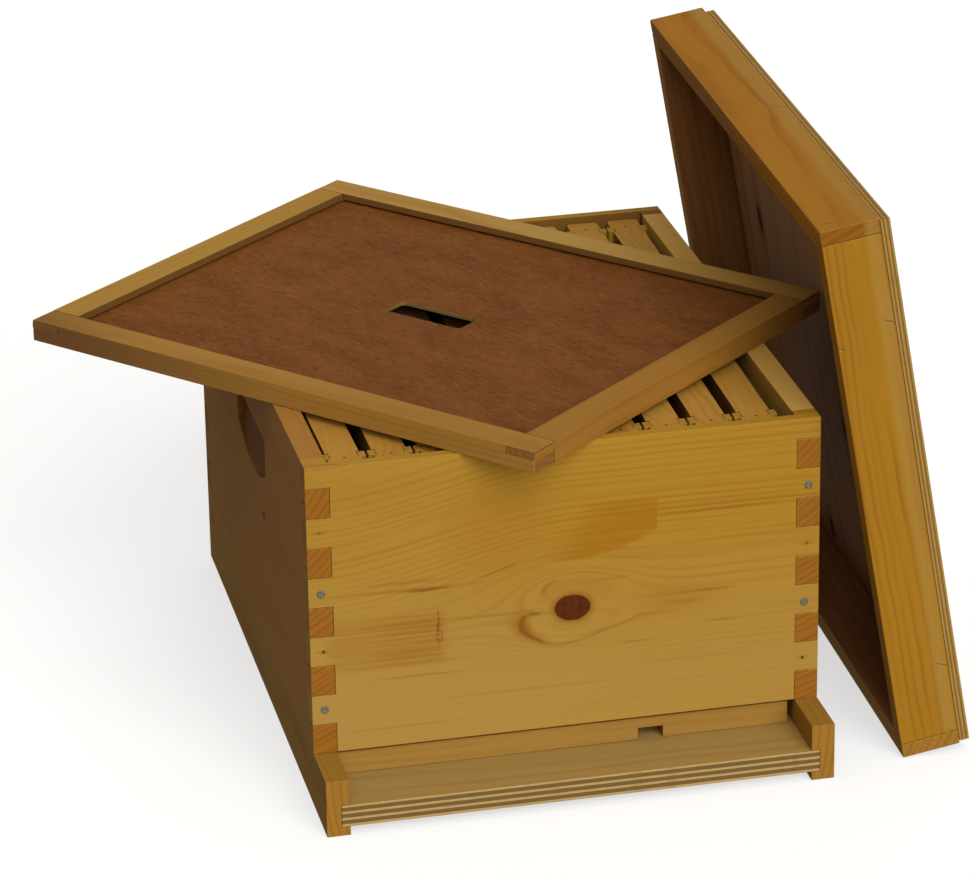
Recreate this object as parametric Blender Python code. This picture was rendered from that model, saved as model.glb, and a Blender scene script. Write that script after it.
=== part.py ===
"""A ten-frame beehive, opened for inspection.

A deep body holds ten hanging frames and stands on a bottom board with an entrance reducer. The inner
cover lies turned across the open top, and the telescoping outer cover leans against its corner.
Metres, +Z up. The hive's front faces -Y. The origin is at the middle of the whole object's box, on the
surface that it stands on.
"""

import math

import bmesh
import bpy
from mathutils import Matrix, Vector

# --- General ---------------------------------------------------------------------------------------
GAP = 0.0003              # clearance left between two pieces that touch
BOARD = 0.019             # dressed thickness of every board
OVERCUT = 0.01            # how far a cutter runs past the face that it opens

# --- Deep body -------------------------------------------------------------------------------------
BODY_WIDTH = 0.413
BODY_LENGTH = 0.505
BODY_HEIGHT = 0.2445
FINGER_ROWS = 10
FINGER_HEIGHT = 0.0252    # every row but the top one, which takes what is left
FRAME_REST_DROP = 0.016   # how deep the rest for the frame lugs is cut below the rim
FRAME_REST_WIDTH = 0.0095

HANDHOLD_WIDTH = 0.134
HANDHOLD_TOP = 0.193      # above the body's lower edge
HANDHOLD_LOW = 0.144      # lowest point of the curved lower edge
HANDHOLD_RADIUS = 0.138   # of the curved lower edge
HANDHOLD_DEPTH = 0.012    # at the straight upper edge
HANDHOLD_LIP = 0.001      # at the lowest point
HANDHOLD_STEPS = 10

# --- Bottom board ----------------------------------------------------------------------------------
RAIL_HEIGHT = 0.048
ENTRANCE_HEIGHT = 0.022
FLOOR_THICKNESS = 0.0184
GROOVE_DEPTH = 0.007
LANDING = 0.050           # how far the bottom board reaches in front of the body

# --- Entrance reducer ------------------------------------------------------------------------------
REDUCER_LENGTH = 0.370
REDUCER_SIDE = 0.019
REDUCER_RECESS = 0.004    # behind the body's front face
SMALL_NOTCH = (0.0585, 0.0790)
SMALL_NOTCH_HEIGHT = 0.0100
WIDE_NOTCH = (-0.090, 0.005)
WIDE_NOTCH_DEPTH = 0.0095

# --- Frames ----------------------------------------------------------------------------------------
FRAMES = 10
FRONT_PITCH = 0.0368      # the frames stand a little further apart at the rear than at the front
REAR_PITCH = 0.0379
TOP_BAR_LENGTH = 0.4826
TOP_BAR_WIDTH = 0.027
TOP_BAR_HEIGHT = 0.019
LUG_THICKNESS = 0.010
LUG_ROUND = 0.003
NECK_WIDTH = 0.022        # of the top bar, between the ears of an end bar
NECK_EXTRA = 0.002        # the notch for an end bar is this much longer than the end bar is thick
FRAME_LENGTH = 0.448      # over the end bars
FRAME_HEIGHT = 0.232
END_BAR_THICKNESS = 0.0095
SHOULDER_WIDTH = 0.035
SHOULDER_HEIGHT = 0.074
END_BAR_WIDTH = 0.0286
END_BAR_TAPER = 0.012
BOTTOM_BAR_WIDTH = 0.019
BOTTOM_BAR_HEIGHT = 0.0095

# --- Inner cover -----------------------------------------------------------------------------------
INNER_RAIL_WIDTH = 0.027
INNER_THICKNESS = 0.018
INNER_TURN = math.radians(41.65)
INNER_CENTRE = Vector((-0.0511, 0.0190))   # from the middle of the hive
TENON_LOW = 0.0105
TENON_HIGH = 0.0165
PANEL_SLOT_LOW = 0.0070
PANEL_SLOT_HIGH = 0.0122
PANEL_THICKNESS = 0.0030
PANEL_BITE = 0.006        # how far the panel enters its groove
ESCAPE_WIDTH = 0.025
ESCAPE_LENGTH = 0.076
ESCAPE_CENTRE = (-0.0008, -0.0035)
ESCAPE_CORNER = 0.0045    # radius of the slot's corners
ESCAPE_ARC_STEPS = 4

# --- Outer cover -----------------------------------------------------------------------------------
OUTER_WIDTH = 0.464       # along the leaning direction
OUTER_LENGTH = 0.559
OUTER_RIM_DEPTH = 0.048
OUTER_LIP = 0.012         # of the long rim boards, over the ends of the short ones
OUTER_PLY = 0.008
OUTER_PLY_INSET = 0.002
OUTER_PLY_REAR_INSET = 0.008
OUTER_LEAN = math.radians(9.47)
OUTER_YAW = math.radians(-1.21)
OUTER_NEAR_Y = -0.2832    # of the near lower corner, from the middle of the hive
OUTER_CLEARANCE = 0.0018  # to the inner cover's corner, so that the inner cover turns past it
OUTER_HOLD_HEIGHT = 0.560  # of its open edge, when it is held level above the hive

# --- Heights worked out from the above ---------------------------------------------------------------
FLOOR_TOP = RAIL_HEIGHT - ENTRANCE_HEIGHT
BODY_BASE = RAIL_HEIGHT + GAP
BODY_TOP = BODY_BASE + BODY_HEIGHT
FRAME_TOP = BODY_TOP - FRAME_REST_DROP + GAP + LUG_THICKNESS
INNER_BASE = BODY_TOP + GAP

PINE = (0.60, 0.38, 0.14, 1.0)
PINE_END = (0.44, 0.22, 0.07, 1.0)
HARDBOARD = (0.24, 0.11, 0.05, 1.0)
PLYWOOD = (0.55, 0.37, 0.16, 1.0)


def clear_scene():
    """Leaves an empty scene with a collection for the pieces and a hidden one for the cutters."""
    for old in list(bpy.data.objects):
        bpy.data.objects.remove(old, do_unlink=True)
    for name in ("beehive", "cutters"):
        collection = bpy.data.collections.new(name)
        bpy.context.scene.collection.children.link(collection)
    return bpy.data.collections["beehive"], bpy.data.collections["cutters"]


def wood(name, colour, roughness):
    made = bpy.data.materials.new(name)
    made.use_nodes = True
    shader = made.node_tree.nodes["Principled BSDF"]
    shader.inputs["Base Color"].default_value = colour
    shader.inputs["Roughness"].default_value = roughness
    shader.inputs["Metallic"].default_value = 0.0
    made.diffuse_color = colour
    return made


def empty(name, parent=None, location=(0, 0, 0), rotation=(0, 0, 0)):
    made = bpy.data.objects.new(name, None)
    made.empty_display_size = 0.05
    PIECES.objects.link(made)
    made.parent = parent
    made.location = location
    made.rotation_euler = rotation
    return made


def boxes_mesh(name, boxes):
    """One mesh of separate boxes, each given by its low and high corners."""
    mesh = bpy.data.meshes.new(name)
    bm = bmesh.new()
    for low, high in boxes:
        low, high = Vector(low), Vector(high)
        made = bmesh.ops.create_cube(bm, size=1.0)["verts"]
        bmesh.ops.scale(bm, verts=made, vec=high - low)
        bmesh.ops.translate(bm, verts=made, vec=(high + low) / 2)
    bm.to_mesh(mesh)
    bm.free()
    return mesh


def place(name, mesh, parent, material):
    made = bpy.data.objects.new(name, mesh)
    PIECES.objects.link(made)
    made.parent = parent
    if not mesh.materials:
        mesh.materials.append(material)
    return made


def board(name, low, high, parent, material):
    """A plain board between two corners, with its own origin at its middle."""
    low, high = Vector(low), Vector(high)
    middle = (low + high) / 2
    made = place(name, boxes_mesh(name, [(low - middle, high - middle)]), parent, material)
    made.location = middle
    return made


def cut(target, cutter_mesh, label):
    """Cuts a mesh, given in the coordinates of the target's parent, out of the target."""
    cutter = bpy.data.objects.new(f"{target.name}_{label}", cutter_mesh)
    CUTTERS.objects.link(cutter)
    cutter.parent = target.parent
    cutter.hide_render = True
    cutter.display_type = "WIRE"
    modifier = target.modifiers.new(label, "BOOLEAN")
    modifier.operation = "DIFFERENCE"
    modifier.solver = "EXACT"
    modifier.object = cutter


def cut_boxes(target, boxes, label):
    cut(target, boxes_mesh(f"{target.name}_{label}", boxes), label)


def outline_mesh(name, points, thickness):
    """A closed flat outline in X and Y, extruded to both sides of Z = 0."""
    mesh = bpy.data.meshes.new(name)
    bm = bmesh.new()
    face = bm.faces.new([bm.verts.new((x, y, -thickness / 2)) for x, y in points])
    swept = bmesh.ops.extrude_face_region(bm, geom=[face])["geom"]
    raised = [item for item in swept if isinstance(item, bmesh.types.BMVert)]
    bmesh.ops.translate(bm, verts=raised, vec=(0, 0, thickness))
    bmesh.ops.recalc_face_normals(bm, faces=bm.faces)
    bm.to_mesh(mesh)
    bm.free()
    return mesh


def turned(mesh, columns):
    """The mesh with its X, Y and Z axes laid along the three given directions."""
    for vertex in mesh.vertices:
        vertex.co = sum((Vector(axis) * value for axis, value in zip(columns, vertex.co)), Vector())
    return mesh


def moved(mesh, offset):
    for vertex in mesh.vertices:
        vertex.co += Vector(offset)
    return mesh


def turning_point(start, end, angle):
    """The point about which a turn by the angle carries one flat point to the other."""
    along = end - start
    sideways = Vector((-along.y, along.x))
    return (start + end) / 2 + sideways / (2 * math.tan(angle / 2))


# --- Where the covers lie ----------------------------------------------------------------------------

def inner_corner(side, end):
    """A corner of the inner cover, from the middle of the hive: side and end are -1 or 1."""
    x, y = side * BODY_WIDTH / 2, end * BODY_LENGTH / 2
    c, s = math.cos(INNER_TURN), math.sin(INNER_TURN)
    return INNER_CENTRE + Vector((c * x - s * y, s * x + c * y))


def outer_axes():
    """The leaning cover's directions: along its rim, up its side, and out through its panel."""
    c, s = math.cos(OUTER_LEAN), math.sin(OUTER_LEAN)
    cy, sy = math.cos(OUTER_YAW), math.sin(OUTER_YAW)
    return Vector((-sy, cy, 0)), Vector((-s * cy, -s * sy, c)), Vector((c * cy, c * sy, s))


def outer_foot():
    """The near lower corner of the leaning cover, which rests against the inner cover's corner."""
    out = outer_axes()[2]
    corner = inner_corner(1, -1)
    held = Vector((corner.x, corner.y, INNER_BASE + INNER_THICKNESS))
    reach = OUTER_RIM_DEPTH + GAP - OUTER_CLEARANCE
    x = held.x - (reach - out.y * (held.y - OUTER_NEAR_Y) - out.z * held.z) / out.x
    return Vector((x, OUTER_NEAR_Y, 0))


def hive_middle():
    """Where the middle of the hive stands, so that the whole object's box is centred on the origin."""
    along, up, out = outer_axes()
    far_corner = (outer_foot() + along * (OUTER_LENGTH - OUTER_PLY_REAR_INSET) + up * OUTER_PLY_INSET
                  + out * (OUTER_RIM_DEPTH + GAP + OUTER_PLY))
    low = Vector((inner_corner(-1, 1).x, -BODY_LENGTH / 2 - LANDING))
    high = Vector((far_corner.x, inner_corner(1, 1).y))
    return -(low + high) / 2


# --- Bottom board ------------------------------------------------------------------------------------

def build_bottom_board(hive):
    front, rear = -BODY_LENGTH / 2 - LANDING, BODY_LENGTH / 2
    outer, inner = BODY_WIDTH / 2, BODY_WIDTH / 2 - BOARD
    floor_low = FLOOR_TOP - FLOOR_THICKNESS
    for side, name in ((-1, "bottom_rail_left"), (1, "bottom_rail_right")):
        xs = sorted((side * inner, side * outer))
        rail = board(name, (xs[0], front, 0), (xs[1], rear, RAIL_HEIGHT), hive, PINE_MATERIAL)
        xs = sorted((side * (inner - OVERCUT), side * (inner + GROOVE_DEPTH)))
        groove = ((xs[0], front - OVERCUT, floor_low - GAP), (xs[1], rear + OVERCUT, FLOOR_TOP + GAP))
        cut_boxes(rail, [groove], "groove")
    half = inner + GROOVE_DEPTH - GAP
    board("bottom_floor", (-half, front, floor_low), (half, rear, FLOOR_TOP), hive, PLY_MATERIAL)
    half = inner - GAP
    board("bottom_rear_cleat", (-half, rear - BOARD, FLOOR_TOP + GAP), (half, rear, RAIL_HEIGHT), hive,
          PINE_MATERIAL)


def build_reducer(hive):
    left = -BODY_WIDTH / 2 + BOARD + GAP
    front = -BODY_LENGTH / 2 + REDUCER_RECESS
    low = FLOOR_TOP + GAP
    holder = empty("entrance_reducer_slide", hive)
    strip = board("entrance_reducer", (left, front, low),
                  (left + REDUCER_LENGTH, front + REDUCER_SIDE, low + REDUCER_SIDE), holder, PINE_MATERIAL)
    small = ((SMALL_NOTCH[0], front - OVERCUT, low - OVERCUT),
             (SMALL_NOTCH[1], front + REDUCER_SIDE + OVERCUT, low + SMALL_NOTCH_HEIGHT))
    wide = ((WIDE_NOTCH[0], front + REDUCER_SIDE - WIDE_NOTCH_DEPTH, low - OVERCUT),
            (WIDE_NOTCH[1], front + REDUCER_SIDE + OVERCUT, low + REDUCER_SIDE + OVERCUT))
    cut_boxes(strip, [small, wide], "notches")


# --- Deep body ---------------------------------------------------------------------------------------

def finger_row(row):
    """Low and high of one row of fingers, above the floor."""
    low = BODY_BASE + row * FINGER_HEIGHT
    high = low + FINGER_HEIGHT if row < FINGER_ROWS - 1 else BODY_TOP
    return low, high


def finger_notches(rows, axis, half_length, face_low, face_high):
    """Cutters at both ends of a board that lies along the axis, one for each row of its neighbour."""
    boxes = []
    for row in rows:
        low, high = finger_row(row)
        low -= GAP / 2 if row else OVERCUT
        high += GAP / 2 if row < FINGER_ROWS - 1 else OVERCUT
        for end in (-1, 1):
            along = sorted((end * (half_length - BOARD - GAP), end * (half_length + OVERCUT)))
            corner_low, corner_high = [0, 0, low], [0, 0, high]
            corner_low[axis], corner_high[axis] = along
            corner_low[1 - axis], corner_high[1 - axis] = face_low - OVERCUT, face_high + OVERCUT
            boxes.append((corner_low, corner_high))
    return boxes


def handhold_mesh(name, side):
    """A recess under a straight edge, with a curved lower edge and a floor that slopes out to it."""
    half = HANDHOLD_WIDTH / 2
    points = [(half, HANDHOLD_TOP), (-half, HANDHOLD_TOP)]
    reach = math.asin(half / HANDHOLD_RADIUS)
    for step in range(HANDHOLD_STEPS + 1):
        angle = -reach + 2 * reach * step / HANDHOLD_STEPS
        low = HANDHOLD_LOW + HANDHOLD_RADIUS * (1 - math.cos(angle))
        points.append((HANDHOLD_RADIUS * math.sin(angle), low))
    mesh = outline_mesh(name, points, 2 * OVERCUT)
    slope = (HANDHOLD_DEPTH - HANDHOLD_LIP) / (HANDHOLD_TOP - HANDHOLD_LOW)
    for vertex in mesh.vertices:
        if vertex.co.z < 0:
            vertex.co.z = -HANDHOLD_LIP - slope * (vertex.co.y - HANDHOLD_LOW)
    turned(mesh, [(0, side, 0), (0, 0, 1), (side, 0, 0)])
    return moved(mesh, (side * BODY_WIDTH / 2, 0, BODY_BASE))


def build_body(frame_of_body):
    half_width, half_length = BODY_WIDTH / 2, BODY_LENGTH / 2
    side_rows, end_rows = range(0, FINGER_ROWS, 2), range(1, FINGER_ROWS, 2)
    for side, name in ((-1, "body_left"), (1, "body_right")):
        xs = sorted((side * (half_width - BOARD), side * half_width))
        made = board(name, (xs[0], -half_length, BODY_BASE), (xs[1], half_length, BODY_TOP), frame_of_body,
                     PINE_MATERIAL)
        cut_boxes(made, finger_notches(end_rows, 1, half_length, *xs), "fingers")
        cut(made, handhold_mesh(f"{name}_handhold", side), "handhold")
    for end, name in ((-1, "body_front"), (1, "body_rear")):
        ys = sorted((end * (half_length - BOARD), end * half_length))
        made = board(name, (-half_width, ys[0], BODY_BASE), (half_width, ys[1], BODY_TOP), frame_of_body,
                     PINE_MATERIAL)
        cut_boxes(made, finger_notches(side_rows, 0, half_width, *ys), "fingers")
        inner = half_width - BOARD
        rest = sorted((end * (half_length - BOARD + FRAME_REST_WIDTH), end * (half_length - BOARD - OVERCUT)))
        cut_boxes(made, [((-inner, rest[0], BODY_TOP - FRAME_REST_DROP),
                          (inner, rest[1], BODY_TOP + OVERCUT))], "frame_rest")


# --- Frames ------------------------------------------------------------------------------------------

def top_bar_mesh():
    """Along Y, with its upper face at Z = 0: lugs with rounded corners, and a neck at each end bar."""
    half_width, half_length, neck = TOP_BAR_WIDTH / 2, TOP_BAR_LENGTH / 2, NECK_WIDTH / 2
    notch_outer = FRAME_LENGTH / 2 + GAP
    notch_inner = FRAME_LENGTH / 2 - END_BAR_THICKNESS - NECK_EXTRA
    quarter = []
    for step in range(4):
        angle = math.radians(90 - 30 * step)
        quarter.append((half_width - LUG_ROUND + LUG_ROUND * math.cos(angle),
                        half_length - LUG_ROUND + LUG_ROUND * math.sin(angle)))
    quarter += [(half_width, notch_outer), (neck, notch_outer), (neck, notch_inner), (half_width, notch_inner)]
    points = quarter + [(x, -y) for x, y in reversed(quarter)]
    points += [(-x, -y) for x, y in quarter] + [(-x, y) for x, y in reversed(quarter)]
    mesh = outline_mesh("top_bar_blank", points, TOP_BAR_HEIGHT)
    blank = place("top_bar_blank", moved(mesh, (0, 0, -TOP_BAR_HEIGHT / 2)), None, PINE_MATERIAL)
    under = []
    for end in (-1, 1):
        ys = sorted((end * (FRAME_LENGTH / 2 - END_BAR_THICKNESS - GAP), end * (half_length + OVERCUT)))
        under.append(((-half_width - OVERCUT, ys[0], -TOP_BAR_HEIGHT - OVERCUT),
                      (half_width + OVERCUT, ys[1], -LUG_THICKNESS)))
    cut_boxes(blank, under, "lugs")
    bpy.context.view_layer.update()
    carved = bpy.data.meshes.new_from_object(blank.evaluated_get(bpy.context.evaluated_depsgraph_get()))
    bpy.data.objects.remove(blank.modifiers["lugs"].object)
    bpy.data.objects.remove(blank)
    return carved


def end_bar_mesh():
    """Standing in X and Z with its top at Z = 0: wide shoulders above, slots for both bars."""
    neck = NECK_WIDTH / 2 - GAP
    shoulder, narrow = SHOULDER_WIDTH / 2, END_BAR_WIDTH / 2
    bottom_slot = BOTTOM_BAR_WIDTH / 2 + GAP
    right = [(neck + 2 * GAP, -LUG_THICKNESS - GAP), (neck + 2 * GAP, 0), (shoulder, 0),
             (shoulder, -SHOULDER_HEIGHT), (narrow, -SHOULDER_HEIGHT - END_BAR_TAPER),
             (narrow, -FRAME_HEIGHT), (bottom_slot, -FRAME_HEIGHT),
             (bottom_slot, -FRAME_HEIGHT + BOTTOM_BAR_HEIGHT + GAP)]
    points = right + [(-x, z) for x, z in reversed(right)]
    mesh = outline_mesh("end_bar", points, END_BAR_THICKNESS)
    return turned(mesh, [(1, 0, 0), (0, 0, 1), (0, -1, 0)])


def build_frames(frame_of_body):
    top_bar, end_bar = top_bar_mesh(), end_bar_mesh()
    half_bottom = Vector((BOTTOM_BAR_WIDTH / 2, FRAME_LENGTH / 2, BOTTOM_BAR_HEIGHT / 2))
    bottom_bar = boxes_mesh("bottom_bar", [(-half_bottom, half_bottom)])
    end_y = (FRAME_LENGTH - END_BAR_THICKNESS) / 2
    first = -BODY_WIDTH / 2 + BOARD + SHOULDER_WIDTH / 2 + GAP
    for index in range(FRAMES):
        front_x = first + index * FRONT_PITCH
        rear_x = min(first + index * REAR_PITCH, -first)
        turn = math.atan2(rear_x - front_x, 2 * end_y)
        name = f"frame_{index + 1:02d}"
        centre = ((front_x + rear_x) / 2, 0, FRAME_TOP)
        if index == FRAMES - 1:
            # The last frame turns about the rear edge of its shoulder, which is beside the wall.
            edge = Vector((SHOULDER_WIDTH / 2 * math.cos(turn) + end_y * math.sin(turn),
                           end_y * math.cos(turn) - SHOULDER_WIDTH / 2 * math.sin(turn), 0))
            edge.x += centre[0]
            edge.y = end_y
            pivot = empty(f"{name}_pivot", frame_of_body, (edge.x, edge.y, FRAME_TOP))
            holder = empty(name, pivot, Vector(centre) - pivot.location, (0, 0, -turn))
        else:
            holder = empty(name, frame_of_body, centre, (0, 0, -turn))
        place(f"{name}_top_bar", top_bar, holder, PINE_MATERIAL)
        for end, label in ((-1, "front"), (1, "rear")):
            made = place(f"{name}_{label}_end_bar", end_bar, holder, PINE_MATERIAL)
            made.location.y = end * end_y
        made = place(f"{name}_bottom_bar", bottom_bar, holder, PINE_MATERIAL)
        made.location.z = -FRAME_HEIGHT + BOTTOM_BAR_HEIGHT / 2


# --- Inner cover -------------------------------------------------------------------------------------

def build_inner_cover(cover):
    half_width, half_length = BODY_WIDTH / 2, BODY_LENGTH / 2
    inner_x, inner_y = half_width - INNER_RAIL_WIDTH, half_length - INNER_RAIL_WIDTH
    groove_end = inner_y + PANEL_BITE + GAP
    for side, name in ((-1, "inner_cover_left_rail"), (1, "inner_cover_right_rail")):
        xs = sorted((side * inner_x, side * half_width))
        rail = board(name, (xs[0], -half_length, 0), (xs[1], half_length, INNER_THICKNESS), cover,
                     PINE_MATERIAL)
        slots = [((xs[0] - OVERCUT, -half_length - OVERCUT, TENON_LOW),
                  (xs[1] + OVERCUT, -inner_y + GAP, TENON_HIGH)),
                 ((xs[0] - OVERCUT, inner_y - GAP, TENON_LOW),
                  (xs[1] + OVERCUT, half_length + OVERCUT, TENON_HIGH))]
        cut_boxes(rail, slots, "tenon_slots")
        xs = sorted((side * (inner_x - OVERCUT), side * (inner_x + PANEL_BITE + GAP)))
        cut_boxes(rail, [((xs[0], -groove_end, PANEL_SLOT_LOW), (xs[1], groove_end, PANEL_SLOT_HIGH))],
                  "groove")
    shoulder = inner_x - GAP
    for end, name in ((-1, "inner_cover_front_rail"), (1, "inner_cover_rear_rail")):
        ys = sorted((end * inner_y, end * half_length))
        rail = board(name, (-half_width, ys[0], 0), (half_width, ys[1], INNER_THICKNESS), cover,
                     PINE_MATERIAL)
        cheeks = []
        for side in (-1, 1):
            xs = sorted((side * shoulder, side * (half_width + OVERCUT)))
            cheeks.append(((xs[0], ys[0] - OVERCUT, -OVERCUT), (xs[1], ys[1] + OVERCUT, TENON_LOW + GAP)))
            cheeks.append(((xs[0], ys[0] - OVERCUT, TENON_HIGH - GAP),
                           (xs[1], ys[1] + OVERCUT, INNER_THICKNESS + OVERCUT)))
        cut_boxes(rail, cheeks, "tenons")
        groove = sorted((end * (inner_y - OVERCUT), end * (inner_y + PANEL_BITE + GAP)))
        cut_boxes(rail, [((-shoulder - GAP, groove[0], PANEL_SLOT_LOW),
                          (shoulder + GAP, groove[1], PANEL_SLOT_HIGH))], "groove")
    panel_half = Vector((inner_x + PANEL_BITE, inner_y + PANEL_BITE))
    low = PANEL_SLOT_LOW + GAP
    panel = board("inner_cover_panel", (-panel_half.x, -panel_half.y, low),
                  (panel_half.x, panel_half.y, low + PANEL_THICKNESS), cover, HARDBOARD_MATERIAL)
    straight_x, straight_y = ESCAPE_WIDTH / 2 - ESCAPE_CORNER, ESCAPE_LENGTH / 2 - ESCAPE_CORNER
    points = []
    for corner, (x, y) in enumerate(((1, 1), (-1, 1), (-1, -1), (1, -1))):
        for step in range(ESCAPE_ARC_STEPS + 1):
            angle = math.radians(90 * (corner + step / ESCAPE_ARC_STEPS))
            points.append((ESCAPE_CENTRE[0] + x * straight_x + ESCAPE_CORNER * math.cos(angle),
                           ESCAPE_CENTRE[1] + y * straight_y + ESCAPE_CORNER * math.sin(angle)))
    cut(panel, outline_mesh("inner_cover_escape", points, 2 * INNER_THICKNESS), "escape")


# --- Outer cover -------------------------------------------------------------------------------------

def build_outer_cover(cover):
    """Local X runs along the rim, Y up the leaning side and Z out through the panel."""
    rabbet = OUTER_LIP - GAP
    for low, high, name in ((0, BOARD, "outer_cover_right_rim"),
                            (OUTER_WIDTH - BOARD, OUTER_WIDTH, "outer_cover_left_rim")):
        rim = board(name, (0, low, 0), (OUTER_LENGTH, high, OUTER_RIM_DEPTH), cover, PINE_MATERIAL)
        if low == 0:
            ys = (rabbet + GAP, BOARD + OVERCUT)
        else:
            ys = (OUTER_WIDTH - BOARD - OVERCUT, OUTER_WIDTH - rabbet - GAP)
        ends = [((-OVERCUT, ys[0], -OVERCUT), (BOARD + GAP, ys[1], OUTER_RIM_DEPTH + OVERCUT)),
                ((OUTER_LENGTH - BOARD - GAP, ys[0], -OVERCUT),
                 (OUTER_LENGTH + OVERCUT, ys[1], OUTER_RIM_DEPTH + OVERCUT))]
        cut_boxes(rim, ends, "rabbets")
    for low, name in ((0, "outer_cover_front_rim"), (OUTER_LENGTH - BOARD, "outer_cover_rear_rim")):
        board(name, (low, OUTER_LIP + GAP, 0), (low + BOARD, OUTER_WIDTH - OUTER_LIP - GAP, OUTER_RIM_DEPTH),
              cover, PINE_MATERIAL)
    board("outer_cover_panel", (GAP, OUTER_PLY_INSET, OUTER_RIM_DEPTH + GAP),
          (OUTER_LENGTH - OUTER_PLY_REAR_INSET, OUTER_WIDTH - OUTER_PLY_INSET,
           OUTER_RIM_DEPTH + GAP + OUTER_PLY), cover, PLY_MATERIAL)


def outer_pivot():
    """A point on the axis that swings the cover from where it leans to level above the hive."""
    along, up, out = outer_axes()
    middle = outer_foot() + along * OUTER_LENGTH / 2 + up * OUTER_WIDTH / 2
    flat = Vector((math.cos(OUTER_YAW), math.sin(OUTER_YAW), 0))
    start = Vector((middle.dot(flat), middle.z))
    end = Vector((0, OUTER_HOLD_HEIGHT))
    centre = turning_point(start, end, math.pi / 2 - OUTER_LEAN)
    return flat * centre.x + along * middle.dot(along) + Vector((0, 0, centre.y))


def main():
    hive = empty("hive", None, hive_middle().to_3d())
    build_bottom_board(hive)
    build_reducer(hive)

    body_pivot = empty("hive_body_pivot", hive, (-BODY_WIDTH / 2, 0, BODY_BASE))
    frame_of_body = empty("hive_body", body_pivot, -body_pivot.location)
    build_body(frame_of_body)
    build_frames(frame_of_body)

    turn_centre = turning_point(INNER_CENTRE, Vector((0, 0)), -INNER_TURN).to_3d()
    inner_pivot = empty("inner_cover_pivot", frame_of_body, turn_centre)
    inner_origin = INNER_CENTRE.to_3d() + Vector((0, 0, INNER_BASE)) - turn_centre
    build_inner_cover(empty("inner_cover", inner_pivot, inner_origin, (0, 0, INNER_TURN)))

    swing = empty("outer_cover_pivot", hive, outer_pivot())
    cover = empty("outer_cover", swing, outer_foot() - swing.location)
    along, up, out = outer_axes()
    cover.rotation_euler = Matrix((along, up, out)).transposed().to_euler()
    build_outer_cover(cover)


PIECES, CUTTERS = clear_scene()
PINE_MATERIAL = wood("pine", PINE, 0.55)
HARDBOARD_MATERIAL = wood("hardboard", HARDBOARD, 0.60)
PLY_MATERIAL = wood("plywood", PLYWOOD, 0.60)
main()
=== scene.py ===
"""The look of the opened beehive: wood materials, softened edges, nails, camera and light, all put around
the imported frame."""

import math

import bmesh
import bpy
from mathutils import Matrix, Vector


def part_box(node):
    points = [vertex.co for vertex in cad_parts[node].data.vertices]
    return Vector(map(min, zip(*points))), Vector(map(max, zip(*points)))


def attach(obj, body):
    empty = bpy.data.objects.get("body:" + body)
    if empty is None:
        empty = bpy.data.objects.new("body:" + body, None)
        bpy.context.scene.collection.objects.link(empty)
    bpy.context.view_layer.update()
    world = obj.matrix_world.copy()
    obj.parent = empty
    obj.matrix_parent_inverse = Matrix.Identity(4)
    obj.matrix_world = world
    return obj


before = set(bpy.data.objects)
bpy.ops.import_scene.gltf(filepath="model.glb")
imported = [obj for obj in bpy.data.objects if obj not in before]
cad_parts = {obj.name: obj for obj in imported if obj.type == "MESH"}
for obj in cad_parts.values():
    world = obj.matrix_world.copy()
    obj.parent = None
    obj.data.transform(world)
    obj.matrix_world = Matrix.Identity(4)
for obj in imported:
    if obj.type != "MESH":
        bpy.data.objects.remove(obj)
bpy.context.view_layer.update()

X, Y, Z = Vector((1, 0, 0)), Vector((0, 1, 0)), Vector((0, 0, 1))
MM = 0.001


# --- Where the groups of pieces lie ---------------------------------------------------------------------

front_low, front_high = (Vector(corner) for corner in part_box("body_front"))
rear_high = Vector(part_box("body_rear")[1])
HIVE = Vector(((front_low.x + front_high.x) / 2, (front_low.y + rear_high.y) / 2, front_low.z))
HALF_X, HALF_Y = (front_high.x - front_low.x) / 2, (rear_high.y - front_low.y) / 2
# Where each wood's figure is measured from, in millimetres from the middle of the hive at the body's lower
# edge: the outer faces, the rails' lower edge, the floor's front edge and top, and a level by the top bars.
SIDE_MM, FRONT_MM, RAIL_MM, LANDING_MM = 206.5, 252.5, 48.0, 302.5
BOARD_MM, FLOOR_TOP_MM, TOP_BAR_MM = 19.0, -22.0, 230.0
BODY_HEIGHT = 0.2445

INNER_TURN = math.radians(41.65)
inner_low, inner_high = (Vector(corner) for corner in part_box("inner_cover_panel"))
INNER = Vector(((inner_low.x + inner_high.x) / 2, (inner_low.y + inner_high.y) / 2, inner_low.z))
INNER_X = Vector((math.cos(INNER_TURN), math.sin(INNER_TURN), 0))
INNER_Y = Vector((-math.sin(INNER_TURN), math.cos(INNER_TURN), 0))

LEAN, YAW = math.radians(9.47), math.radians(-1.21)
OUTER_U = Vector((-math.sin(YAW), math.cos(YAW), 0))
OUTER_V = Vector((-math.sin(LEAN) * math.cos(YAW), -math.sin(LEAN) * math.sin(YAW), math.cos(LEAN)))
OUTER_W = OUTER_U.cross(OUTER_V)
OUTER = Vector((0.28842, -0.3044, 0))    # the near end of the edge that it stands on


# --- Node trees -----------------------------------------------------------------------------------------

WOOD_SHEEN = 0.05


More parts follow.
